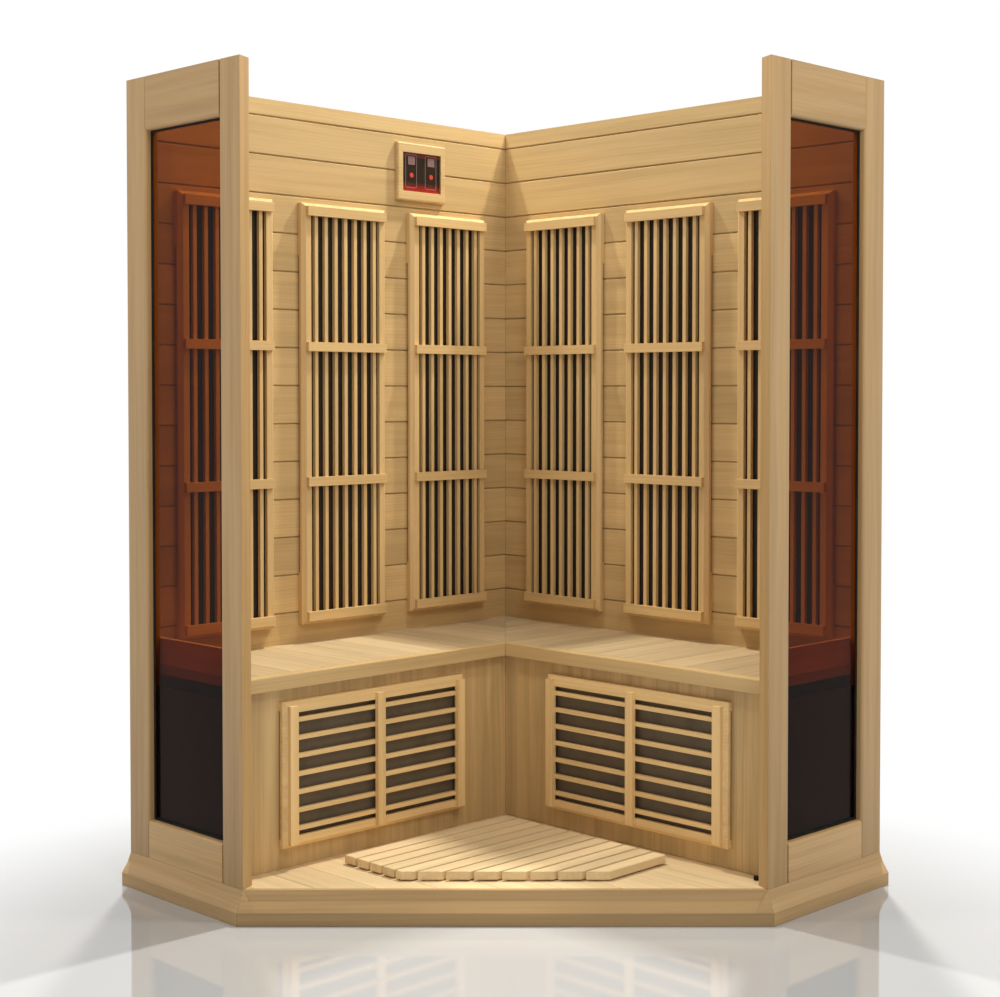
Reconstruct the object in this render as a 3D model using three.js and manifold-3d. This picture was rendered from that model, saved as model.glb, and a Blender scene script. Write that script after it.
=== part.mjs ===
// Corner infrared sauna cabin with an open front and top, in millimetres with +Z up.
// The plan is a square corner cut by an open front, which faces -Y and has the back corner behind it.
import * as THREE from "three";
import { ConvexGeometry } from "three/addons/geometries/ConvexGeometry.js";
import { mergeVertices } from "three/addons/utils/BufferGeometryUtils.js";
import Module from "manifold-3d";

const wasm = await Module();
wasm.setup();

// Shell
const wallLength = 1225; // back wall outside, from the back corner to the side panel's outer face
const sideLength = 432; // side panel outside, from the back wall's outer face to the mitred corner
const shellHeight = 1775; // walls and side panels, above the floor
const fit = 0.3; // gap between pieces that touch

// Boards
const boardPitch = 93.6; // visible width of a tongue-and-groove board
const topBoard = 41; // narrow board under the top edge of a wall
const grooveWidth = 6;
const grooveDepth = 3.5;
const fineGrooveWidth = 3; // seat, floor and outer skin
const fineGrooveDepth = 1.5;

// Back walls
const claddingThickness = 8;
const studThickness = 11.4;
const liningThickness = 10;
const studWidth = 45;
const studBays = 3;
const noggingBays = 4;

// Base
const floorTop = 71;
const deckThickness = 18;
const bearerWidth = 45;
const bearerBays = 3;
const skirtThickness = 12; // behind the side panels' outer faces
const skirtReach = 24; // in front of those faces, at the ground
const skirtBand = 28; // upright band at the ground
const skirtCrease = 9; // reach of the moulding half way up its slope
const hipWidth = 41; // foot of the triangular facet at each front corner
const plugRadius = 6;
const plugHeight = 9;
const plugInset = 28; // from the bench front and from the side panel

// Side panels
const sideThickness = 35;
const stileWidth = 75;
const topRailHeight = 120.5;
const bottomRailHeight = 86.2;
const easedEdge = 7; // rounded edge round the window
const glassSetback = 17.5;
const glassThickness = 5;
const rebate = 8;
const blackoutThickness = 3;
const blackoutGap = 12; // below the nosing
const mitreAngle = Math.PI / 8;

// Bench
const seatHeight = 440; // above the floor
const benchDepth = 355; // wall face to nosing
const seatThickness = 22;
const nosingThickness = 18;
const nosingHeight = 34;
const nosingRadius = 5;
const benchOverhang = 25; // nosing in front of the bench front
const benchFrontThickness = 18;
const cleatThickness = 22;
const cleatHeight = 40;
const cleatInset = 40; // short of the wall's ends
const endBoardHeight = 61; // board that stands on the seat against a side panel
const endBoardThickness = 15;
const seatJoint = 377; // distance of a seat joint from the nosing's inner corner

// Heaters
const heatersPerWall = 3;
const heaterCrossbars = 2; // between the end bars
const calfCrossbars = 1;
const heaterCornerGap = 94; // back corner to the first guard
const heaterEndGap = 74; // last guard to the side panel
const heaterSpacing = 86.5;
const heaterSeatGap = 46; // seat to the guard's lower edge
const heaterTopGap = 244; // guard's upper edge to the top of the wall
const calfCornerGap = 161;
const calfEndGap = 117;
const calfFloorGap = 47;
const calfSeatGap = 31;
const guardSide = 13; // upright edge of a guard, below its bevel
const guardBevel = 9;
const guardStile = 16.5; // flat between the bevel and the opening
const guardWall = 13.5;
const slatCount = 7;
const slatWidth = 10;
const slatDepth = 10;
const slatEdgeGap = 11.5;
const barWidth = 23;
const barDepth = 10; // bars stand in front of the slats
const barLap = 0.5; // depth by which the bars are let into the slats
const ventHeight = 5; // air slot between a guard's upright edges and the wall
const wallVentInset = 130;
const calfVentInset = 20;
const emitterThickness = 6;
const emitterMargin = 1.5;

// Control panel
const controlFromCorner = 322; // centre, along the left wall's face
const controlBelowTop = 136; // centre, below the top of the wall
const bezelWidth = 168;
const bezelHeight = 150;
const bezelSide = 17;
const bezelTop = 24.5;
const bezelChamfer = 3;
const plateSetback = 5;
const plateThickness = 3;
const plateLap = 4;
const boardThickness = 1.6;
const boardMargin = 8;
const columnSpacing = 69; // two columns of display and button
const displayWidth = 24;
const displayHeight = 22;
const displayThickness = 1.2;
const displayRise = 30; // display centre above the panel's centre
const buttonRadius = 6.5;
const buttonDrop = 8; // button centre below the panel's centre
const buttonProud = 2;
const buttonTravel = 1;
const switchGap = 0.6; // left between a pressed button and the circuit board
const flangeRim = 2;
const flangeThickness = 1.2;

// Duckboard
const matBenchGap = 71; // to both bench fronts
const matSideGap = 248; // to both side panels
const matFrontGap = 66; // to the line of the open front
const matSlats = 12;
const matSlatGap = 7;
const matSlatThickness = 18;
const matSlatChamfer = 1.5;
const battens = 4;
const battenThickness = 3;
const battenWidth = 30;
const battenMargin = 40; // first and last batten to the mat's edges along the slats
const battenInset = 6; // short of the mat's other edges
const battenLap = 1.5; // depth by which the battens are let into the slats

// Finishes
const pine = { color: 0xe2c28b, roughness: 0.6 };
const shadedPine = { color: 0xb89b70, roughness: 0.65 };
const emitterFilm = { color: 0x2f261c, roughness: 0.8 };
const bronzeGlass = { color: 0x6b3a22, roughness: 0.05 };
const blackPanel = { color: 0x1d1b19, roughness: 0.6 };
const blackPlate = { color: 0x1d1b19, roughness: 0.3 };
const blackRubber = { color: 0x1d1b19, roughness: 0.9 };
const redPlastic = { color: 0xc94440, roughness: 0.35 };
const mauveLens = { color: 0x8a6d70, roughness: 0.2 };
const boardGreen = { color: 0x2c5a3a, roughness: 0.5 };

// Derived places. u runs along the left wall from the back corner, v along the right wall.
const shellTop = floorTop + shellHeight;
const wallThickness = claddingThickness + studThickness + liningThickness + 2 * fit;
const sideInner = wallLength - sideThickness;
const wallEnd = sideInner - fit;
const standing = floorTop + fit;
const seatTop = floorTop + seatHeight;
const nosingFront = wallThickness + benchDepth;
const nosingBack = nosingFront - nosingThickness;
const benchFace = nosingFront - benchOverhang;
const seatUnderside = seatTop - seatThickness;
const nosingBottom = seatTop - nosingHeight;
const frontLine = wallLength + sideLength; // u + v along the open front
const cabinDepth = frontLine / Math.SQRT2 + skirtReach;
const backCornerY = cabinDepth / 2;

// Solids
function extrude(points, from, to) {
  const shape = new THREE.Shape(points.map(([a, b]) => new THREE.Vector2(a, b)));
  const options = { depth: to - from, bevelEnabled: false };
  return new THREE.ExtrudeGeometry(shape, options).translate(0, 0, from);
}

const axisU = new THREE.Vector3(1, 0, 0);
const axisV = new THREE.Vector3(0, 1, 0);
const axisZ = new THREE.Vector3(0, 0, 1);

function basis(first, second) {
  return new THREE.Matrix4().makeBasis(first, second, first.clone().cross(second));
}

// A polygon of (v, z) points extruded along u
function alongU(points, from, to) {
  return extrude(points, from, to).applyMatrix4(basis(axisV, axisZ));
}

// A polygon of (u, z) points extruded along v
function alongV(points, from, to) {
  return extrude(points, -to, -from).applyMatrix4(basis(axisU, axisZ));
}

// A polygon of (u, v) points extruded upwards
function alongZ(points, from, to) {
  return extrude(points, from, to);
}

function rectangle(low, high) {
  return [low, [high[0], low[1]], high, [low[0], high[1]]];
}

function box(low, high) {
  return alongZ(rectangle([low[0], low[1]], [high[0], high[1]]), low[2], high[2]);
}

function disc(radius, from, to) {
  const sides = 32;
  return new THREE.CylinderGeometry(radius, radius, to - from, sides)
    .rotateX(Math.PI / 2)
    .translate(0, 0, (from + to) / 2);
}

function solid(geometry) {
  const bare = geometry.clone();
  bare.deleteAttribute("normal");
  bare.deleteAttribute("uv");
  const merged = mergeVertices(bare, 1e-4);
  const vertProperties = merged.attributes.position.array;
  const triVerts = new Uint32Array(merged.index.array);
  return new wasm.Manifold(new wasm.Mesh({ numProp: 3, vertProperties, triVerts }));
}

function geometryOf(body) {
  const mesh = body.getMesh();
  const geometry = new THREE.BufferGeometry();
  geometry.setAttribute("position", new THREE.BufferAttribute(mesh.vertProperties, 3));
  geometry.setIndex(new THREE.BufferAttribute(mesh.triVerts, 1));
  geometry.computeVertexNormals();
  return geometry;
}

function join(first, others) {
  return geometryOf(others.reduce((body, piece) => body.add(solid(piece)), solid(first)));
}

function cut(first, tools) {
  return geometryOf(tools.reduce((body, tool) => body.subtract(solid(tool)), solid(first)));
}

function common(first, second) {
  return geometryOf(solid(first).intersect(solid(second)));
}

function span(count) {
  return Array.from({ length: count }, (_, k) => k);
}

// Quarter arc from one direction to the next, for eased edges
function arc(centre, radius, startAngle) {
  const steps = 4;
  return span(steps + 1).map((k) => {
    const angle = startAngle + ((Math.PI / 2) * k) / steps;
    return [centre[0] + radius * Math.cos(angle), centre[1] + radius * Math.sin(angle)];
  });
}

// Groove places between two ends, on a pitch that passes through one known joint
function joints(known, low, high, pitch = boardPitch) {
  const margin = grooveWidth;
  const first = known - Math.floor((known - low - margin) / pitch) * pitch;
  const count = Math.max(0, Math.floor((high - margin - first) / pitch) + 1);
  return span(count).map((k) => first + k * pitch);
}

// Section of a boarded panel: (across, along) points with a V groove at each place
function boarded(back, face, low, high, places, width, depth) {
  const inwards = Math.sign(back - face) * depth;
  const grooves = places.flatMap((place) => [
    [face, place - width / 2],
    [face + inwards, place],
    [face, place + width / 2],
  ]);
  return [[back, low], [face, low], ...grooves, [face, high], [back, high]];
}

// Everything on the far side of the mitre between the two halves of the cabin
function mirrorPlaneTool() {
  const reach = wallLength;
  const shift = fit / Math.SQRT2;
  const line = [
    [-reach + shift, -reach],
    [reach + shift, reach],
    [-reach, reach],
  ];
  return alongZ(line, -reach, 2 * shellTop);
}

function mitred(geometry) {
  return cut(geometry, [mirrorPlaneTool()]);
}

// Plan of the cabin's five sides, drawn in by a distance at the back, at the sides and at the front
function plan(back, side, front) {
  const far = wallLength - side;
  const near = sideLength + side - front * Math.SQRT2;
  return [
    [back, back],
    [far, back],
    [far, near],
    [near, far],
    [back, far],
  ];
}

// Scene
const cabin = new THREE.Group();

// Frame of u, v and z at the back corner; the right half is the left one mirrored
function halfFrame(mirrored) {
  const half = new THREE.Group();
  const frame = new THREE.Group();
  half.scale.x = mirrored ? -1 : 1;
  frame.rotation.z = -0.75 * Math.PI; // both walls run forward from the corner at 45 degrees
  frame.position.y = backCornerY;
  half.add(frame);
  cabin.add(half);
  return frame;
}

function add(parent, name, geometry, finish) {
  const mesh = new THREE.Mesh(geometry, new THREE.MeshStandardMaterial({ ...finish, metalness: 0 }));
  mesh.name = name;
  parent.add(mesh);
  return mesh;
}

// A group on a panel: its x and y axes lie in the panel and its z axis points out of it
function panelFrame(parent, across, along, place) {
  const group = new THREE.Group();
  group.quaternion.setFromRotationMatrix(basis(across, along));
  group.position.set(...place);
  parent.add(group);
  return group;
}

// Base: bearer raft, floor deck and moulded skirts
function bearerRaft() {
  const inset = skirtThickness + fit;
  const top = floorTop - deckThickness - fit;
  const outer = alongZ(plan(0, inset, inset), 0, top);
  const inner = plan(bearerWidth, inset + bearerWidth, inset + bearerWidth);
  const ring = cut(outer, [alongZ(inner, -fit, top + fit)]);
  const places = span(bearerBays - 1).map((k) => ((k + 1) * wallLength) / bearerBays);
  const bearers = places.flatMap((place) => [
    box([place - bearerWidth / 2, 0, 0], [place + bearerWidth / 2, wallLength, top]),
    box([0, place - bearerWidth / 2, 0], [wallLength, place + bearerWidth / 2, top]),
  ]);
  return join(ring, bearers.map((bearer) => common(bearer, outer)));
}

function fineGroove(place, surface, from, to) {
  const half = fineGrooveWidth / 2;
  const section = [
    [place - half, surface + fit],
    [place - half, surface],
    [place, surface - fineGrooveDepth],
    [place + half, surface],
    [place + half, surface + fit],
  ];
  return alongV(section, from, to);
}

function floorDeck() {
  const inset = skirtThickness + fit;
  const deck = alongZ(plan(0, inset, inset), floorTop - deckThickness, floorTop);
  const places = joints(benchFace, 0, wallLength - inset);
  return cut(deck, places.map((place) => fineGroove(place, floorTop, -fit, wallLength)));
}

// Skirt section: (outward, z) points
const skirtSection = [
  [-skirtThickness, 0],
  [skirtReach, 0],
  [skirtReach, skirtBand],
  [skirtCrease, (skirtBand + floorTop) / 2],
  [0, floorTop],
  [-skirtThickness, floorTop],
];

// Plan of all that lies beyond the skirts' mitre at the left front corner, to its front or to its side
function beyondMitre(towardsFront) {
  const reach = wallLength;
  const along = new THREE.Vector2(Math.cos(mitreAngle), Math.sin(mitreAngle));
  const aside = new THREE.Vector2(-along.y, along.x).multiplyScalar(towardsFront ? 1 : -1);
  const corner = new THREE.Vector2(wallLength, sideLength).addScaledVector(aside, -fit / 2);
  const place = (a, b) => corner.clone().addScaledVector(along, a).addScaledVector(aside, b).toArray();
  return [place(-reach, 0), place(reach, 0), place(reach, reach), place(-reach, reach)];
}

function sideSkirt() {
  const section = skirtSection.map(([out, z]) => [wallLength + out, z]);
  const tool = alongZ(beyondMitre(true), -fit, floorTop + fit);
  return cut(alongV(section, 0, sideLength + skirtReach), [tool]);
}

// Place of a corner-frame point in the cabin's own frame
function cabinPlace(u, v, z) {
  return new THREE.Vector3((v - u) / Math.SQRT2, backCornerY - (u + v) / Math.SQRT2, z);
}

// The front skirt has a triangular hip facet from each floor corner down to the upright band
function frontSkirt() {
  const face = backCornerY - frontLine / Math.SQRT2;
  const halfWidth = (wallLength - sideLength) / Math.SQRT2 + skirtReach;
  const section = skirtSection.map(([out, z]) => [face - out, z]);
  const bar = alongU(section, -halfWidth, halfWidth);
  const spread = skirtReach * Math.tan(mitreAngle);
  const top = cabinPlace(wallLength, sideLength, floorTop);
  const root = cabinPlace(wallLength, sideLength, skirtBand);
  const foot = cabinPlace(wallLength + skirtReach, sideLength + spread, skirtBand);
  const far = foot.clone().setX(foot.x + hipWidth);
  const hips = [1, -1].map((side) => {
    const mirror = new THREE.Vector3(side, 1, 1);
    return new ConvexGeometry([top, root, foot, far].map((corner) => corner.clone().multiply(mirror)));
  });
  const tools = [1, -1].map((side) => {
    const points = beyondMitre(false).map(([u, v]) => cabinPlace(u, v, 0));
    return alongZ(points.map(({ x, y }) => [side * x, y]), -fit, floorTop + fit);
  });
  return cut(join(bar, hips), tools);
}

// Back wall: boarded lining and outer skin, mitred at the back corner, with a stud frame between them
function wallLining() {
  const places = joints(shellTop - topBoard, standing, shellTop);
  const back = wallThickness - liningThickness;
  const section = boarded(back, wallThickness, standing, shellTop, places, grooveWidth, grooveDepth);
  return mitred(alongU(section, 0, wallEnd));
}

// The left frame runs into the corner and the right one butts against it
function wallStuds(butted) {
  const from = claddingThickness + fit;
  const start = butted ? from + studThickness + fit : from;
  const bayWidth = (wallEnd - start - (studBays + 1) * studWidth) / studBays;
  const bayHeight = (shellHeight - fit - (noggingBays + 1) * studWidth) / noggingBays;
  const bays = span(studBays).flatMap((i) =>
    span(noggingBays).map((j) => {
      const u = start + studWidth + i * (bayWidth + studWidth);
      const z = standing + studWidth + j * (bayHeight + studWidth);
      return box([u, 0, z], [u + bayWidth, wallThickness, z + bayHeight]);
    }),
  );
  return cut(box([start, from, standing], [wallEnd, from + studThickness, shellTop]), bays);
}

function wallCladding() {
  const places = joints(shellTop - topBoard, standing, shellTop);
  const depth = fineGrooveDepth;
  const section = boarded(claddingThickness, 0, standing, shellTop, places, fineGrooveWidth, depth);
  return mitred(alongU(section, 0, wallEnd));
}

// Side panel: two stiles and two lapped rails round a rebated window
const windowBack = stileWidth;
const windowFront = sideLength - stileWidth;
const windowLow = floorTop + bottomRailHeight;
const windowHigh = shellTop - topRailHeight;
const glassFace = wallLength - glassSetback;
const easedFace = wallLength - easedEdge;

function backStile() {
  const points = [
    [sideInner, 0],
    [wallLength, 0],
    ...arc([easedFace, windowBack - easedEdge], easedEdge, 0),
    [glassFace, windowBack],
    [glassFace, windowBack - rebate],
    [sideInner, windowBack - rebate],
  ];
  return alongZ(points, standing, shellTop);
}

function frontStile() {
  const points = [
    [sideInner, sideLength - sideThickness * Math.tan(mitreAngle)],
    [sideInner, windowFront + rebate],
    [glassFace, windowFront + rebate],
    [glassFace, windowFront],
    ...arc([easedFace, windowFront + easedEdge], easedEdge, -Math.PI / 2),
    [wallLength, sideLength],
  ];
  return alongZ(points, standing, shellTop);
}

// A rail runs between the stiles, and its inner layer laps into their rebates
function sideRail(edge, far) {
  const up = Math.sign(edge - far);
  const rounding = arc([easedFace, edge - up * easedEdge], easedEdge, up > 0 ? 0 : -Math.PI / 2);
  const lapEdge = edge - up * rebate;
  const points = [
    [sideInner, far],
    [wallLength, far],
    ...(up > 0 ? rounding : rounding.reverse()),
    [glassFace, edge],
    [glassFace, lapEdge],
    [sideInner, lapEdge],
  ];
  const lap = [Math.min(far, lapEdge), Math.max(far, lapEdge)];
  const inner = rectangle([sideInner, lap[0]], [glassFace, lap[1]]);
  const whole = alongV(points, windowBack + fit, windowFront - fit);
  return join(whole, [alongV(inner, windowBack - rebate + fit, windowFront + rebate - fit)]);
}

function paneOutline() {
  const low = [windowBack - rebate + fit, windowLow - rebate + fit];
  return rectangle(low, [windowFront + rebate - fit, windowHigh + rebate - fit]);
}

const glassBack = glassFace - fit - glassThickness;

function glassPane() {
  return alongU(paneOutline(), glassBack, glassFace - fit);
}

function glazingBead() {
  const opening = rectangle([windowBack, windowLow], [windowFront, windowHigh]);
  const face = glassBack - fit;
  return cut(alongU(paneOutline(), sideInner, face), [alongU(opening, sideInner - fit, face + fit)]);
}

function blackoutPanel() {
  const face = glassBack - fit;
  const low = [face - blackoutThickness, windowBack + fit, windowLow + fit];
  return box(low, [face, windowFront - fit, nosingBottom - blackoutGap]);
}

// Bench: boarded seat, rounded nosing, plain front panel, wall cleat and end board, mitred at the corner
function benchSeat() {
  const from = wallThickness + fit;
  const slab = box([0, from, seatUnderside], [wallEnd, nosingBack - fit, seatTop]);
  const places = joints(nosingFront + seatJoint, from, wallEnd);
  const grooves = places.map((place) => fineGroove(place, seatTop, 0, nosingFront));
  return mitred(cut(slab, grooves));
}

function benchNosing() {
  const centre = [nosingFront - nosingRadius, seatTop - nosingRadius];
  const section = [
    [nosingBack, nosingBottom],
    [nosingFront, nosingBottom],
    ...arc(centre, nosingRadius, 0),
    [nosingBack, seatTop],
  ];
  return mitred(alongU(section, 0, wallEnd));
}

function benchFront() {
  const low = [0, benchFace - benchFrontThickness, standing];
  return mitred(box(low, [wallEnd, benchFace, seatUnderside - fit]));
}

function benchCleat() {
  const from = wallThickness + fit;
  const low = [from + cleatThickness + cleatInset, from, seatUnderside - fit - cleatHeight];
  return box(low, [wallEnd - cleatInset, from + cleatThickness, seatUnderside - fit]);
}

function benchEndBoard() {
  const low = seatTop + fit;
  const high = low + endBoardHeight;
  const face = wallEnd - endBoardThickness;
  const rounding = arc([face + nosingRadius, high - nosingRadius], nosingRadius, Math.PI / 2);
  const section = [[face, low], [wallEnd, low], [wallEnd, high], ...rounding];
  return alongV(section, wallThickness + fit, nosingFront - nosingRadius);
}

// Heater guard: a bevelled tray with slats in its opening and proud bars across them.
// x runs across the slats, y along them and z out of the panel.
const stilePlane = guardSide + guardBevel;
const slatBack = stilePlane - slatDepth;

function centredBox(halfX, halfY, low, high) {
  return box([-halfX, -halfY, low], [halfX, halfY, high]);
}

function heaterGuard(width, length, crossbars, vent) {
  const front = [width / 2 - guardBevel, length / 2 - guardBevel];
  const opening = front.map((half) => half - guardStile);
  const cavity = [width / 2 - guardWall, length / 2 - guardWall];
  const ring = (halfX, halfY, z) =>
    rectangle([-halfX, -halfY], [halfX, halfY]).map(([x, y]) => new THREE.Vector3(x, y, z));
  const tray = new ConvexGeometry([
    ...ring(width / 2, length / 2, fit),
    ...ring(width / 2, length / 2, guardSide),
    ...ring(...front, stilePlane),
  ]);
  const frame = cut(tray, [
    centredBox(...cavity, -fit, slatBack),
    centredBox(...opening, 0, stilePlane + fit),
    centredBox(...vent, -fit, fit + ventHeight),
  ]);
  const slatPitch = (2 * (opening[0] - slatEdgeGap) - slatWidth) / (slatCount - 1);
  const slats = span(slatCount).map((k) => {
    const x = (k - (slatCount - 1) / 2) * slatPitch;
    const reach = opening[1] + guardStile / 2;
    return box([x - slatWidth / 2, -reach, slatBack], [x + slatWidth / 2, reach, stilePlane]);
  });
  const barPitch = (2 * front[1] - barWidth) / (crossbars + 1);
  const bars = span(crossbars + 2).map((k) => {
    const y = -front[1] + barWidth / 2 + k * barPitch;
    const low = [-front[0], y - barWidth / 2, stilePlane - barLap];
    return box(low, [front[0], y + barWidth / 2, stilePlane + barDepth]);
  });
  return join(frame, [...slats, ...bars]);
}

function heaterEmitter(width, length) {
  const margin = guardWall + emitterMargin;
  return centredBox(width / 2 - margin, length / 2 - margin, fit, fit + emitterThickness);
}

function addHeater(frame, name, width, length, crossbars, vent) {
  add(frame, name + "_guard", heaterGuard(width, length, crossbars, vent), pine);
  add(frame, name + "_emitter", heaterEmitter(width, length), emitterFilm);
}

function addWallHeaters(half, side) {
  const run = sideInner - wallThickness - heaterCornerGap - heaterEndGap;
  const width = (run - (heatersPerWall - 1) * heaterSpacing) / heatersPerWall;
  const low = seatTop + heaterSeatGap;
  const length = shellTop - heaterTopGap - low;
  const vent = [width, length / 2 - wallVentInset];
  for (const k of span(heatersPerWall)) {
    const u = wallThickness + heaterCornerGap + width / 2 + k * (width + heaterSpacing);
    const place = [u, wallThickness, low + length / 2];
    const frame = panelFrame(half, axisU.clone().negate(), axisZ, place);
    addHeater(frame, `wall_heater_${side}_${k + 1}`, width, length, heaterCrossbars, vent);
  }
}

function addCalfHeater(half, side) {
  const from = benchFace + calfCornerGap;
  const length = sideInner - calfEndGap - from;
  const low = floorTop + calfFloorGap;
  const width = nosingBottom - calfSeatGap - low;
  const vent = [width / 2 - calfVentInset, length];
  const frame = panelFrame(half, axisZ, axisU, [from + length / 2, benchFace, low + width / 2]);
  addHeater(frame, `calf_heater_${side}`, width, length, calfCrossbars, vent);
}

// Control panel: wooden bezel, recessed faceplate, circuit board, two displays and two push buttons.
// x points to the viewer's right, y up and z out of the wall.
const boardFace = fit + boardThickness;
const plateBack = boardFace + switchGap + buttonTravel + flangeThickness + fit;
const plateFront = plateBack + plateThickness;
const bezelDepth = plateFront + plateSetback;
const faceHalf = [bezelWidth / 2 - bezelSide, bezelHeight / 2 - bezelTop];

function controlBezel() {
  const half = [bezelWidth / 2, bezelHeight / 2];
  const ring = (inset, z) =>
    rectangle([-half[0] + inset, -half[1] + inset], [half[0] - inset, half[1] - inset]).map(
      ([x, y]) => new THREE.Vector3(x, y, z),
    );
  const block = new ConvexGeometry([
    ...ring(0, fit),
    ...ring(0, bezelDepth - bezelChamfer),
    ...ring(bezelChamfer, bezelDepth),
  ]);
  const rebateHalf = faceHalf.map((side) => side + plateLap + fit);
  return cut(block, [
    centredBox(...faceHalf, 0, bezelDepth + fit),
    centredBox(...rebateHalf, 0, plateFront + fit),
  ]);
}

function controlFaceplate() {
  const half = faceHalf.map((side) => side + plateLap);
  const holes = [-1, 1].map((side) =>
    disc(buttonRadius + fit, plateBack - fit, plateFront + fit).translate(
      (side * columnSpacing) / 2,
      -buttonDrop,
      0,
    ),
  );
  return cut(centredBox(...half, plateBack, plateFront), holes);
}

function controlButton() {
  const flangeFront = plateBack - fit;
  const flange = disc(buttonRadius + flangeRim, flangeFront - flangeThickness, flangeFront);
  return join(flange, [disc(buttonRadius, flangeFront - flangeThickness, plateFront + buttonProud)]);
}

function addControlPanel(half) {
  const place = [wallThickness + controlFromCorner, wallThickness, shellTop - controlBelowTop];
  const frame = panelFrame(half, axisU.clone().negate(), axisZ, place);
  const boardHalf = faceHalf.map((side) => side - boardMargin);
  add(frame, "control_bezel", controlBezel(), pine);
  add(frame, "control_faceplate", controlFaceplate(), blackPlate);
  add(frame, "control_circuit_board", centredBox(...boardHalf, fit, boardFace), boardGreen);
  const lensBack = plateFront + fit;
  for (const [side, name] of [
    [-1, "left"],
    [1, "right"],
  ]) {
    const x = (side * columnSpacing) / 2;
    const lens = centredBox(displayWidth / 2, displayHeight / 2, lensBack, lensBack + displayThickness);
    add(frame, `control_display_${name}`, lens, mauveLens).position.set(x, displayRise, 0);
    add(frame, `control_button_${name}`, controlButton(), redPlastic).position.set(x, -buttonDrop, 0);
  }
}

// Duckboard: slats along the left wall's direction on battens, cut to the line of the front
function duckboard() {
  const back = benchFace + matBenchGap;
  const side = sideThickness + matSideGap;
  const edge = plan(back, side, matFrontGap);
  const width = wallLength - side - back;
  const slatRun = (width - (matSlats - 1) * matSlatGap) / matSlats;
  const low = standing + battenThickness;
  const high = low + matSlatThickness;
  const slats = span(matSlats).map((k) => {
    const from = back + k * (slatRun + matSlatGap);
    const to = from + slatRun;
    const section = [
      [from, low],
      [to, low],
      [to, high - matSlatChamfer],
      [to - matSlatChamfer, high],
      [from + matSlatChamfer, high],
      [from, high - matSlatChamfer],
    ];
    return alongU(section, back, wallLength - side);
  });
  const battenEdge = alongZ(plan(back, side + battenInset, matFrontGap + battenInset), 0, high);
  const battenPitch = (width - 2 * battenMargin - battenWidth) / (battens - 1);
  const bars = span(battens).map((k) => {
    const u = back + battenMargin + k * battenPitch;
    const bar = box([u, back + battenInset, standing], [u + battenWidth, wallLength, low + battenLap]);
    return common(bar, battenEdge);
  });
  return common(join(slats[0], [...slats.slice(1), ...bars]), alongZ(edge, 0, high + fit));
}

function floorPlug() {
  const place = [sideInner - plugInset, benchFace + plugInset, 0];
  return disc(plugRadius, standing, floorTop + plugHeight).translate(...place);
}

// Assembly
for (const side of ["left", "right"]) {
  const half = halfFrame(side === "right");
  add(half, `skirt_${side}`, sideSkirt(), shadedPine);
  add(half, `wall_lining_${side}`, wallLining(), pine);
  add(half, `wall_studs_${side}`, wallStuds(side === "right"), shadedPine);
  add(half, `wall_cladding_${side}`, wallCladding(), shadedPine);
  add(half, `side_back_stile_${side}`, backStile(), shadedPine);
  add(half, `side_front_stile_${side}`, frontStile(), shadedPine);
  add(half, `side_top_rail_${side}`, sideRail(windowHigh, shellTop), shadedPine);
  add(half, `side_bottom_rail_${side}`, sideRail(windowLow, standing), shadedPine);
  add(half, `side_glass_${side}`, glassPane(), bronzeGlass);
  add(half, `side_glazing_bead_${side}`, glazingBead(), pine);
  add(half, `side_blackout_panel_${side}`, blackoutPanel(), blackPanel);
  add(half, `bench_seat_${side}`, benchSeat(), pine);
  add(half, `bench_nosing_${side}`, benchNosing(), pine);
  add(half, `bench_front_${side}`, benchFront(), pine);
  add(half, `bench_cleat_${side}`, benchCleat(), shadedPine);
  add(half, `bench_end_board_${side}`, benchEndBoard(), pine);
  addWallHeaters(half, side);
  addCalfHeater(half, side);
  if (side === "left") {
    add(half, "base_bearers", bearerRaft(), shadedPine);
    add(half, "floor_deck", floorDeck(), pine);
    add(half, "duckboard", duckboard(), pine);
    addControlPanel(half);
  } else {
    add(half, "floor_plug", floorPlug(), blackRubber);
  }
}
add(cabin, "skirt_front", frontSkirt(), shadedPine);

export default cabin;
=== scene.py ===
# Looks of the corner sauna cabin: softwood boards, tinted windows, heaters and controls, in metres.
import math

import bmesh
import bpy
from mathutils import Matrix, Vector


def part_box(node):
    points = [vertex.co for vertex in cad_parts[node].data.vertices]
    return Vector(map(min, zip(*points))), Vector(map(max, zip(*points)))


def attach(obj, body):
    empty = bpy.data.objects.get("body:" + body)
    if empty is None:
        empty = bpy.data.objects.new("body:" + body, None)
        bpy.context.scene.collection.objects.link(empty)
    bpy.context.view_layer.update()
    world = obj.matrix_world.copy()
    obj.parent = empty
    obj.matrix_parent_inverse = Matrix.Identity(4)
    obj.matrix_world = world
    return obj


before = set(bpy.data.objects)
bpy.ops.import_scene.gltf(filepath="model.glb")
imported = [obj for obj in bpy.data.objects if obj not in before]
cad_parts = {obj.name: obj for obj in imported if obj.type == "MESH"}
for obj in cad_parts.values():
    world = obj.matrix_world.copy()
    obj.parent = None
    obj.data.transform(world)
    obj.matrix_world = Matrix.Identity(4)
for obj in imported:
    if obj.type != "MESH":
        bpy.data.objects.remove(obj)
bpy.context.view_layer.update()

# Directions: each back wall runs forward from the back corner at 45 degrees
UP = Vector((0, 0, 1))
ACROSS = Vector((1, 0, 0))
LEFT_WALL = Vector((-1, -1, 0)).normalized()
RIGHT_WALL = Vector((1, -1, 0)).normalized()

# Places taken from the frame
BACK_CORNER = Vector((0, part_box("wall_cladding_left")[1].y, 0))
SHELL_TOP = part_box("wall_lining_left")[1].z

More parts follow.
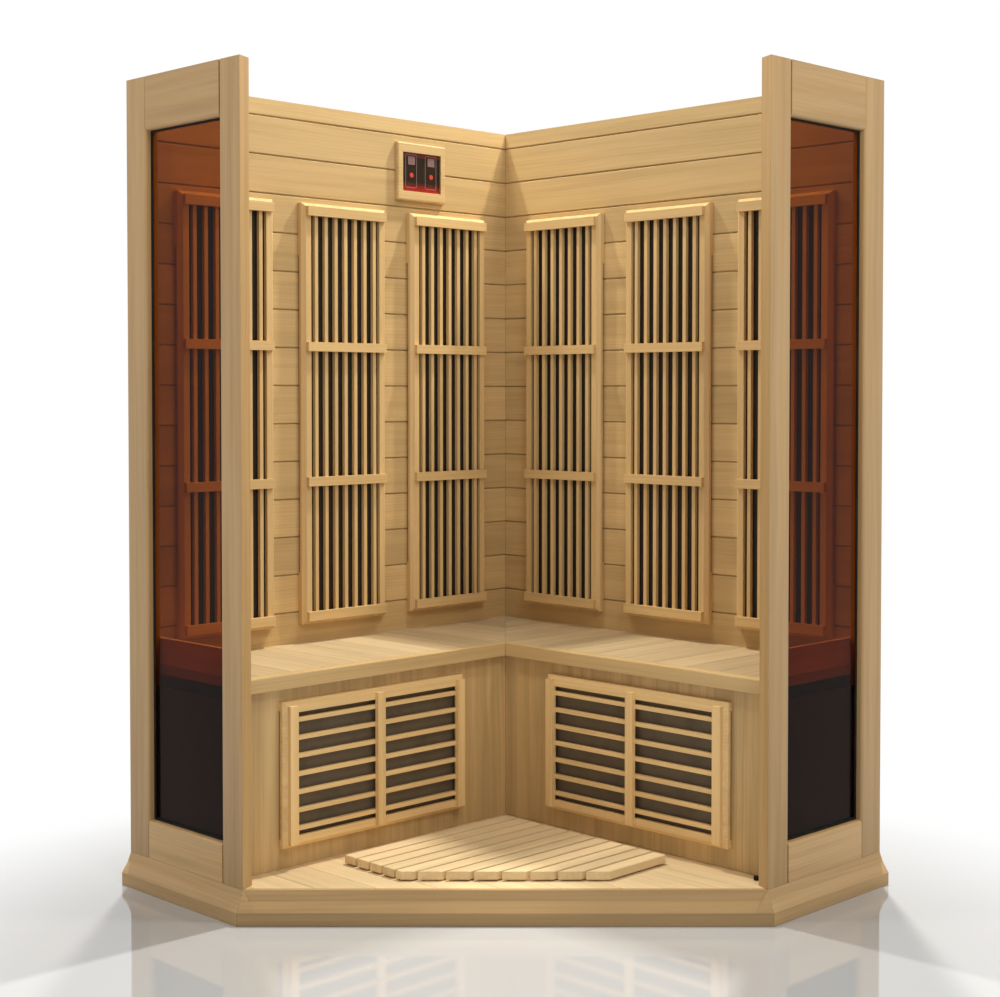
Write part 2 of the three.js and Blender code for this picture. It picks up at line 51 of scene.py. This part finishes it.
# Board layout of the solids
BOARD_PITCH = 0.0936
TOP_BOARD = 0.041
WALL_FACE = 0.030  # from the outer corner
BENCH_FACE = 0.360
SEAT_JOINT = 0.762
MAT_EDGE = 0.431
MAT_PITCH = 0.04317
GUARD_FACE = 0.022  # slats and stiles in front of the panel; the bars stand prouder

# Window opening of a side panel: along the panel, up, and the glass face from the back corner
WINDOW_ALONG = (0.075, 0.357)
WINDOW_UP = (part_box("side_bottom_rail_left")[1].z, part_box("side_top_rail_left")[0].z)
GLASS_FACE = 1.2073

# Section of the window's gasket: inset from the opening's edge, and rise from the glass
GASKET_SECTION = ((0.0004, 0.0), (0.0004, 0.0022), (0.0016, 0.0036),
                  (0.0040, 0.0036), (0.0055, 0.0020), (0.0055, 0.0))

# Wood tones, from the lightest earlywood to the darkest line: inside the cabin, then paler
# for the seat, floor and duckboard, then the same wood darker for the side panels and skirts,
# as painted shade on their outer faces
PLANED = ((0.62, 0.433, 0.201), (0.558, 0.377, 0.163), (0.41, 0.262, 0.099))
PALER_BOARDS = ((0.65, 0.500, 0.292), (0.60, 0.448, 0.246), (0.46, 0.322, 0.153))
SHADED_OUTSIDE = ((0.50, 0.318, 0.140), (0.45, 0.277, 0.114), (0.33, 0.191, 0.068))

# Wood figure: pitch of the growth rings, and noise per metre along and across the grain
RING_PITCH = 0.0085
STREAK_SCALE = (2.0, 75.0)
FIBRE_SCALE = (22.0, 900.0)
BAND_SCALE = (1.3, 26.0)

THREAD_PITCH = 0.0024  # weave over the emitters
COLUMN_HALF_WIDTH = 0.0192  # outline round a column of controls

RUBBER = ((0.012, 0.011, 0.010), (0.03, 0.028, 0.025))

# Studio floor: half its width, its drop below the part, the middle of its plain part, and how far
# from there it starts and ends to brighten
FLOOR_SPAN = 30.0
FLOOR_DROP = 0.0005
FLOOR_MIDDLE = (0.0, -0.75, 0.0)
FLOOR_FADE = (0.85, 1.65)

# Studio light: what the lamps face, the share of the white surround that lights the part,
# and for each lamp its direction and distance from there, size, power in watts and colour
LAMP_TARGET = Vector((0, -0.1, 0.9))
SURROUND = 0.36
LAMPS = {
    "back_right": ((0.86, 0.85, 2.83), 3.08, 0.12, 112, (1.0, 0.98, 0.92)),
    "back_left": ((-0.86, 0.85, 2.83), 3.08, 0.12, 80, (1.0, 0.98, 0.92)),
    "key_right": ((1.06, -0.35, 1.8), 4.0, 0.4, 36, (1.0, 0.98, 0.92)),
    "key_left": ((-1.06, -0.35, 1.8), 4.0, 0.4, 27, (1.0, 0.98, 0.92)),
    "front": ((0.4, -1.0, 0.85), 4.5, 1.0, 41, (1.0, 0.98, 0.94)),
    "top": ((0, 0, 1), 3.2, 1.0, 18, (0.94, 1.0, 1.03)),
}


class Shader:
    """A material with a Principled surface, and short calls that add nodes to it."""

    def __init__(self, name):
        self.material = bpy.data.materials.new(name)
        self.material.use_nodes = True
        self.tree = self.material.node_tree
        self.surface = self.tree.nodes["Principled BSDF"]

    def feed(self, socket, value):
        if isinstance(value, bpy.types.NodeSocket):
            self.tree.links.new(value, socket)
        elif isinstance(value, tuple) and len(value) == 3 and len(socket.default_value) == 4:
            socket.default_value = (*value, 1)
        else:
            socket.default_value = value

    def node(self, kind, inputs, **settings):
        made = self.tree.nodes.new("ShaderNode" + kind)
        for key, value in settings.items():
            setattr(made, key, value)
        for key, value in inputs.items():
            self.feed(made.inputs[key], value)
        return made

    def set(self, **inputs):
        for key, value in inputs.items():
            self.feed(self.surface.inputs[key.replace("_", " ")], value)

    def math(self, operation, first, second=0.0):
        return self.node("Math", {0: first, 1: second}, operation=operation).outputs[0]

    def place(self):
        return self.node("TexCoord", {}).outputs["Object"]

    def along(self, place, direction):
        dot = self.node("VectorMath", {0: place, 1: tuple(direction)}, operation="DOT_PRODUCT")
        return dot.outputs["Value"]

    def vector(self, x, y, z):
        return self.node("CombineXYZ", {"X": x, "Y": y, "Z": z}).outputs[0]

    def noise(self, place, scale, detail=2.0, roughness=0.5):
        inputs = {"Vector": place, "Scale": scale, "Detail": detail, "Roughness": roughness}
        return self.node("TexNoise", inputs).outputs[0]

    def drawn_out(self, a, b, c, scale, detail=2.0, roughness=0.5):
        """Noise with one scale along the grain and another across it."""
        along, across = scale
        place = self.vector(self.math("MULTIPLY", a, along), self.math("MULTIPLY", b, across),
                            self.math("MULTIPLY", c, across))
        return self.noise(place, 1.0, detail, roughness)

    def chance(self, value):
        return self.node("TexWhiteNoise", {"W": value}, noise_dimensions="1D").outputs["Value"]

    def spread(self, value, low, high, new_low=0.0, new_high=1.0):
        inputs = {"Value": value, "From Min": low, "From Max": high}
        inputs |= {"To Min": new_low, "To Max": new_high}
        return self.node("MapRange", inputs, interpolation_type="SMOOTHSTEP").outputs[0]

    def blend(self, share, first, second, blend_type="MIX"):
        inputs = {0: share, 6: first, 7: second}
        return self.node("Mix", inputs, data_type="RGBA", blend_type=blend_type).outputs[2]

    def choose(self, share, first, second):
        return self.node("Mix", {0: share, 2: first, 3: second}, data_type="FLOAT").outputs[0]

    def bump(self, height, distance, strength=1.0, edge=0.0):
        inputs = {"Height": height, "Distance": distance, "Strength": strength}
        if edge:
            inputs["Normal"] = self.node("Bevel", {"Radius": edge}, samples=4).outputs[0]
        return self.node("Bump", inputs).outputs[0]


def wood(name, grain, across, boards=None, turned=None, tone=1.0, seed=0.0, seam=0.62, figure=1.0,
         tones=PLANED):
    """Planed softwood. boards is (pitch, place of a joint) along across; turned is (direction,
    depth) past which the grain runs across instead, as on the bars of a guard. seam is the shade
    of a joint and figure the strength of the streaks."""
    pale, warm, line = tones
    sh = Shader(name)
    place = sh.place()
    a = sh.along(place, grain)
    b = sh.along(place, across)
    c = sh.along(place, grain.cross(across))
    if turned:
        direction, depth = turned
        proud = sh.math("GREATER_THAN", sh.along(place, direction), depth)
        a, b = sh.choose(proud, a, b), sh.choose(proud, b, a)
    a = sh.math("ADD", a, seed)
    tint = None
    if boards:
        pitch, joint = boards
        step = sh.math("DIVIDE", sh.math("SUBTRACT", b, joint), pitch)
        lot = sh.chance(sh.math("ADD", sh.math("FLOOR", step), seed))
        a = sh.math("ADD", a, sh.math("MULTIPLY", lot, 9.0))
        c = sh.math("ADD", c, sh.math("MULTIPLY", lot, 3.0))
        tint = sh.spread(lot, 0.0, 1.0, 0.90, 1.07)
        nearest = sh.math("ABSOLUTE", sh.math("SUBTRACT", step, sh.math("ROUND", step)))
        gap = sh.spread(sh.math("MULTIPLY", nearest, pitch), 0.0004, 0.0024, seam, 1.0)
        tint = sh.math("MULTIPLY", tint, gap)
    wander_place = sh.vector(sh.math("MULTIPLY", a, 1.6), sh.math("MULTIPLY", b, 7.0), c)
    wander = sh.noise(wander_place, 1.0)
    bent = sh.math("ADD", b, sh.math("MULTIPLY", wander, 0.030))
    rings = sh.math("SINE", sh.math("MULTIPLY", bent, 2 * math.pi / RING_PITCH))
    streaks = sh.drawn_out(a, bent, c, STREAK_SCALE, 4.0, 0.62)
    fibres = sh.drawn_out(a, b, c, FIBRE_SCALE)
    bands = sh.drawn_out(a, bent, c, BAND_SCALE)
    warmth = sh.spread(streaks, 0.34, 0.74, 0.5 - 0.5 * figure, 0.5 + 0.5 * figure)
    colour = sh.blend(warmth, pale, warm)
    ring_strength = sh.spread(wander, 0.35, 0.7, 0.04, 0.22)
    late = sh.math("MULTIPLY", sh.spread(rings, 0.35, 1.0), ring_strength)
    colour = sh.blend(late, colour, line)
    colour = sh.blend(sh.spread(fibres, 0.55, 0.85, 0.0, 0.22), colour, line)
    shade = sh.spread(bands, 0.32, 0.68, (1.0 - 0.06 * figure) * tone, (1.0 + 0.05 * figure) * tone)
    if tint:
        shade = sh.math("MULTIPLY", shade, tint)
    colour = sh.blend(1.0, colour, sh.vector(shade, shade, shade), "MULTIPLY")
    relief = sh.math("ADD", sh.math("MULTIPLY", fibres, 0.6), streaks)
    sh.set(Base_Color=colour, Roughness=sh.spread(streaks, 0.3, 0.75, 0.42, 0.58),
           Normal=sh.bump(relief, 0.0003, 0.45, edge=0.0012))
    return sh.material


def emitter(name, film, thread):
    """Carbon film under a fine black weave."""
    sh = Shader(name)
    place = sh.place()
    turns = 2 * math.pi / THREAD_PITCH
    weave = [sh.math("SINE", sh.math("MULTIPLY", sh.along(place, axis), turns))
             for axis in (LEFT_WALL, RIGHT_WALL, UP)]
    threads = sh.math("MAXIMUM", sh.math("MAXIMUM", weave[0], weave[1]), weave[2])
    cloud = sh.noise(place, 14.0, 3.0)
    colour = sh.blend(sh.spread(threads, 0.4, 1.0, 0.0, 0.5), film, thread)
    colour = sh.blend(sh.spread(cloud, 0.45, 0.75, 0.0, 0.35), colour, thread)
    sh.set(Base_Color=colour, Roughness=sh.spread(cloud, 0.3, 0.7, 0.55, 0.8),
           Normal=sh.bump(threads, 0.0003, 0.5))
    return sh.material


def tinted_glass():
    sh = Shader("tinted_glass")
    smears = sh.noise(sh.place(), 5.0, 4.0, 0.65)
    colour = sh.blend(sh.spread(smears, 0.35, 0.7), (0.325, 0.122, 0.034), (0.305, 0.110, 0.030))
    sh.set(Base_Color=colour, Roughness=sh.spread(smears, 0.4, 0.75, 0.0, 0.035),
           Transmission_Weight=1.0, IOR=1.13)
    return sh.material


def plastic(name, colour, worn, rough, grain_scale=900.0, gloss=0.5):
    """Moulded plastic or rubber: fine moulding grain, and slight uneven wear."""
    sh = Shader(name)
    place = sh.place()
    grain = sh.noise(place, grain_scale)
    wear = sh.noise(place, 24.0, 4.0, 0.6)
    sh.set(Base_Color=sh.blend(sh.spread(wear, 0.45, 0.8), colour, worn),
           Roughness=sh.spread(wear, 0.3, 0.7, rough - 0.06, rough + 0.08),
           Specular_IOR_Level=gloss, Normal=sh.bump(grain, 0.00008, 0.4, edge=0.0006))
    return sh.material


def faceplate(centre, column):
    """Dark plate that fades to red at its foot and a little at its head, with a thin rounded
    outline round each column of controls, column away from the middle."""
    sh = Shader("faceplate")
    place = sh.place()
    x = sh.math("SUBTRACT", sh.along(place, -LEFT_WALL), -LEFT_WALL.dot(centre))
    y = sh.math("SUBTRACT", sh.along(place, UP), centre.z)
    mottle = sh.noise(place, 90.0, 3.0)
    foot = sh.spread(sh.math("ADD", y, sh.math("MULTIPLY", mottle, 0.010)), -0.018, -0.046)
    head = sh.spread(y, 0.034, 0.052, 0.0, 0.45)
    colour = sh.blend(sh.math("MAXIMUM", foot, head), (0.010, 0.006, 0.006), (0.33, 0.012, 0.012))
    corner, top, bottom = 0.004, 0.046, -0.040
    out_x = sh.math("SUBTRACT", sh.math("ABSOLUTE", x), column)
    out_x = sh.math("SUBTRACT", sh.math("ABSOLUTE", out_x), COLUMN_HALF_WIDTH - corner)
    out_y = sh.math("SUBTRACT", y, (top + bottom) / 2)
    out_y = sh.math("SUBTRACT", sh.math("ABSOLUTE", out_y), (top - bottom) / 2 - corner)
    outside = sh.vector(sh.math("MAXIMUM", out_x, 0.0), sh.math("MAXIMUM", out_y, 0.0), 0.0)
    reach = sh.node("VectorMath", {0: outside}, operation="LENGTH").outputs["Value"]
    inside = sh.math("MINIMUM", sh.math("MAXIMUM", out_x, out_y), 0.0)
    distance = sh.math("SUBTRACT", sh.math("ADD", reach, inside), corner)
    outline = sh.spread(sh.math("ABSOLUTE", distance), 0.0003, 0.0008, 0.55, 0.0)
    colour = sh.blend(outline, colour, (0.42, 0.34, 0.34))
    sh.set(Base_Color=colour, Roughness=sh.spread(mottle, 0.3, 0.7, 0.16, 0.26),
           Normal=sh.bump(mottle, 0.00005, 0.2))
    return sh.material


def joint_at(direction, distance):
    """Place of a board joint along a direction, from its distance to the back corner."""
    return direction.dot(BACK_CORNER) + distance


def finish(node, material):
    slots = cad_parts[node].data.materials
    slots.clear()
    slots.append(material)


def dress_half(side, wall, other):
    """Woods of one half of the cabin: wall is the direction of its back wall, and other that of
    the opposite one."""
    boards = (BOARD_PITCH, SHELL_TOP - TOP_BOARD)
    face = joint_at(other, WALL_FACE) + GUARD_FACE
    bench = joint_at(other, BENCH_FACE) + GUARD_FACE
    seed = 0.0 if side == "left" else 41.0
    woods = {
        "wall_lining": wood(f"lining_{side}", wall, UP, boards, seed=seed),
        "wall_cladding": wood(f"cladding_{side}", wall, UP, boards, tone=0.93, seed=seed + 5),
        "side_back_stile": wood(f"back_stile_{side}", UP, other, seed=seed + 1, tones=SHADED_OUTSIDE),
        "side_front_stile": wood(f"front_stile_{side}", UP, other, seed=seed + 2, tones=SHADED_OUTSIDE),
        "side_top_rail": wood(f"top_rail_{side}", other, UP, tone=0.98, seed=seed + 3,
                              tones=SHADED_OUTSIDE),
        # Higher tone than the top rail: painted light that lifts the shade near the floor
        "side_bottom_rail": wood(f"bottom_rail_{side}", other, UP, tone=1.34, seed=seed + 4,
                                 tones=SHADED_OUTSIDE),
        "side_glazing_bead": wood(f"bead_{side}", UP, other, tone=0.9, seed=seed + 6),
        "skirt": wood(f"skirt_{side}", other, UP, tone=1.15, seed=seed + 7, tones=SHADED_OUTSIDE),
        "bench_seat": wood(f"seat_{side}", other, wall, (BOARD_PITCH, joint_at(wall, SEAT_JOINT)),
                           tone=0.87, seed=seed + 8, seam=0.85, tones=PALER_BOARDS),
        "bench_nosing": wood(f"nosing_{side}", wall, UP, seed=seed + 9),
        "bench_front": wood(f"bench_front_{side}", UP, wall, seed=seed + 10, figure=2.0),
        "bench_cleat": wood(f"cleat_{side}", wall, UP, tone=0.8, seed=seed + 11),
        # High tone: painted light on the end board, which sits in shade behind the glass
        "bench_end_board": wood(f"end_board_{side}", other, UP, tone=1.4, seed=seed + 14,
                                figure=1.5),
        "wall_studs": wood(f"studs_{side}", UP, wall, tone=0.8, seed=seed + 12),
    }
    for kind, material in woods.items():
        finish(f"{kind}_{side}", material)
    calf_guard = wood(f"calf_guard_{side}", wall, UP, turned=(other, bench), tone=1.4,
                      seed=seed + 13)
    finish(f"calf_heater_{side}_guard", calf_guard)
    for number in (1, 2, 3):
        guard = wood(f"guard_{side}_{number}", UP, wall, turned=(other, face), tone=1.12,
                     seed=seed + 20 + number)
        finish(f"wall_heater_{side}_{number}_guard", guard)


def dress_base():
    # The front skirt is toned darker than the side skirts, as painted shade on its front face
    finish("skirt_front", wood("skirt_front", ACROSS, UP, tone=0.9, seed=71, tones=SHADED_OUTSIDE))
    floor_boards = (BOARD_PITCH, joint_at(LEFT_WALL, BENCH_FACE))
    finish("floor_deck", wood("floor", RIGHT_WALL, LEFT_WALL, floor_boards, tone=1.12, seed=72,
                              seam=0.85, tones=PALER_BOARDS))
    slats = (MAT_PITCH, joint_at(RIGHT_WALL, MAT_EDGE))
    finish("duckboard", wood("duckboard", LEFT_WALL, RIGHT_WALL, slats, tone=1.25, seed=73,
                             seam=0.9, tones=PALER_BOARDS))
    finish("base_bearers", wood("bearers", LEFT_WALL, RIGHT_WALL, tone=0.8, seed=74))
    finish("floor_plug", plastic("plug_rubber", *RUBBER, 0.7, gloss=0.2))


def dress_heaters():
    wall_film = emitter("wall_emitter", (0.030, 0.020, 0.012), (0.012, 0.009, 0.006))
    calf_film = emitter("calf_emitter", (0.150, 0.114, 0.071), (0.075, 0.058, 0.037))
    for side in ("left", "right"):
        finish(f"calf_heater_{side}_emitter", calf_film)
        for number in (1, 2, 3):
            finish(f"wall_heater_{side}_{number}_emitter", wall_film)


def dress_windows():
    glass = tinted_glass()
    black = plastic("blackout", (0.018, 0.066, 0.105), (0.025, 0.078, 0.125), 0.55,
                    grain_scale=400.0)
    rubber = plastic("gasket_rubber", *RUBBER, 0.8, gloss=0.15)
    for side, wall, other in (("left", LEFT_WALL, RIGHT_WALL), ("right", RIGHT_WALL, LEFT_WALL)):
        finish(f"side_glass_{side}", glass)
        finish(f"side_blackout_panel_{side}", black)
        add_gasket(side, wall, other, rubber)


def add_gasket(side, wall, other, rubber):
    """Soft black bead that seals the glass to the frame, all round the window."""
    (back, front), (low, high) = WINDOW_ALONG, WINDOW_UP
    shape = bmesh.new()
    rings = []
    corners = ((back, low, 1, 1), (front, low, -1, 1), (front, high, -1, -1), (back, high, 1, -1))
    for v, z, dv, dz in corners:
        ring = []
        for inset, rise in GASKET_SECTION:
            across = other * (v + dv * inset) + UP * (z + dz * inset)
            ring.append(shape.verts.new(BACK_CORNER + wall * (GLASS_FACE + rise) + across))
        rings.append(ring)
    for here, there in zip(rings, rings[1:] + rings[:1]):
        for a, b, c, d in zip(here, here[1:] + here[:1], there[1:] + there[:1], there):
            shape.faces.new((a, b, c, d))
    bmesh.ops.recalc_face_normals(shape, faces=shape.faces)
    mesh = bpy.data.meshes.new(f"side_gasket_{side}")
    shape.to_mesh(mesh)
    shape.free()
    mesh.materials.append(rubber)
    gasket = bpy.data.objects.new(f"side_gasket_{side}", mesh)
    bpy.context.scene.collection.objects.link(gasket)
    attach(gasket, "cabin")


def dress_controls():
    low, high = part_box("control_faceplate")
    left, right = (sum(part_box(f"control_button_{side}"), Vector()) / 2
                   for side in ("left", "right"))
    column = (right - left).length / 2
    finish("control_faceplate", faceplate((low + high) / 2, column))
    finish("control_bezel", wood("bezel", LEFT_WALL, UP, seed=81))
    board = plastic("circuit_board", (0.02, 0.08, 0.035), (0.03, 0.11, 0.05), 0.5)
    finish("control_circuit_board", board)
    lens = plastic("display_lens", (0.20, 0.115, 0.12), (0.26, 0.16, 0.165), 0.16)
    red = plastic("button_red", (0.55, 0.045, 0.035), (0.66, 0.09, 0.07), 0.34)
    for side in ("left", "right"):
        finish(f"control_display_{side}", lens)
        finish(f"control_button_{side}", red)


def add_floor():
    """Pale glossy studio floor that brightens into the white background."""
    shape = bmesh.new()
    bmesh.ops.create_grid(shape, x_segments=1, y_segments=1, size=FLOOR_SPAN)
    mesh = bpy.data.meshes.new("studio_floor")
    shape.to_mesh(mesh)
    shape.free()
    floor = bpy.data.objects.new("studio_floor", mesh)
    floor.location.z = -FLOOR_DROP
    bpy.context.scene.collection.objects.link(floor)
    sh = Shader("studio_floor")
    place = sh.place()
    sheen = sh.noise(place, 1.5)
    colour = sh.blend(sheen, (0.50, 0.50, 0.50), (0.52, 0.52, 0.52))
    sh.set(Base_Color=colour, Roughness=0.05, IOR=2.2)
    glow = sh.node("Emission", {"Color": (1.0, 1.0, 1.0), "Strength": 1.0}).outputs[0]
    away = sh.node("VectorMath", {0: place, 1: FLOOR_MIDDLE}, operation="DISTANCE").outputs["Value"]
    mix = sh.node("MixShader", {0: sh.spread(away, *FLOOR_FADE), 1: sh.surface.outputs[0], 2: glow})
    output = next(n for n in sh.tree.nodes if n.type == "OUTPUT_MATERIAL")
    sh.tree.links.new(mix.outputs[0], output.inputs["Surface"])
    mesh.materials.append(sh.material)


def add_light(name, direction, distance, size, power, colour):
    light = bpy.data.lights.new(name, "AREA")
    light.size = size
    light.energy = power
    light.color = colour
    lamp = bpy.data.objects.new(name, light)
    lamp.location = LAMP_TARGET + direction * distance
    lamp.rotation_euler = (-direction).to_track_quat("-Z", "Y").to_euler()
    lamp.visible_glossy = False
    bpy.context.scene.collection.objects.link(lamp)


def add_studio():
    """White surround, dimmer for what it lights than for what is seen of it, and the lamps."""
    world = bpy.data.worlds.new("studio")
    world.use_nodes = True
    bpy.context.scene.world = world
    nodes = world.node_tree.nodes
    links = world.node_tree.links
    background = nodes["Background"]
    background.inputs["Color"].default_value = (1, 1, 1, 1)
    ray = nodes.new("ShaderNodeLightPath").outputs
    seen = nodes.new("ShaderNodeMath")
    seen.operation = "MAXIMUM"
    links.new(ray["Is Camera Ray"], seen.inputs[0])
    links.new(ray["Is Glossy Ray"], seen.inputs[1])
    strength = nodes.new("ShaderNodeMapRange")
    strength.inputs["To Min"].default_value = SURROUND
    strength.inputs["To Max"].default_value = 1.0
    links.new(seen.outputs[0], strength.inputs["Value"])
    links.new(strength.outputs[0], background.inputs["Strength"])
    for name, (direction, distance, size, power, colour) in LAMPS.items():
        add_light(name, Vector(direction).normalized(), distance, size, power, colour)


def add_camera():
    """The photograph's camera: level left to right, tipped a little down, with a shifted frame."""
    camera = bpy.data.cameras.new("camera")
    camera.sensor_fit = "HORIZONTAL"
    camera.sensor_width = 36.0
    camera.lens = 61.74
    camera.shift_x = -0.0053
    camera.shift_y = -0.0598
    camera.clip_end = 100.0
    eye = bpy.data.objects.new("camera", camera)
    eye.location = (0, -4.2093, 1.1336)
    eye.rotation_euler = (math.pi / 2 - 0.0270, 0, 0)
    bpy.context.scene.collection.objects.link(eye)
    bpy.context.scene.camera = eye


dress_half("left", LEFT_WALL, RIGHT_WALL)
dress_half("right", RIGHT_WALL, LEFT_WALL)
dress_base()
dress_heaters()
dress_windows()
dress_controls()
add_floor()
add_studio()
add_camera()
bpy.context.scene.view_settings.view_transform = "Standard"
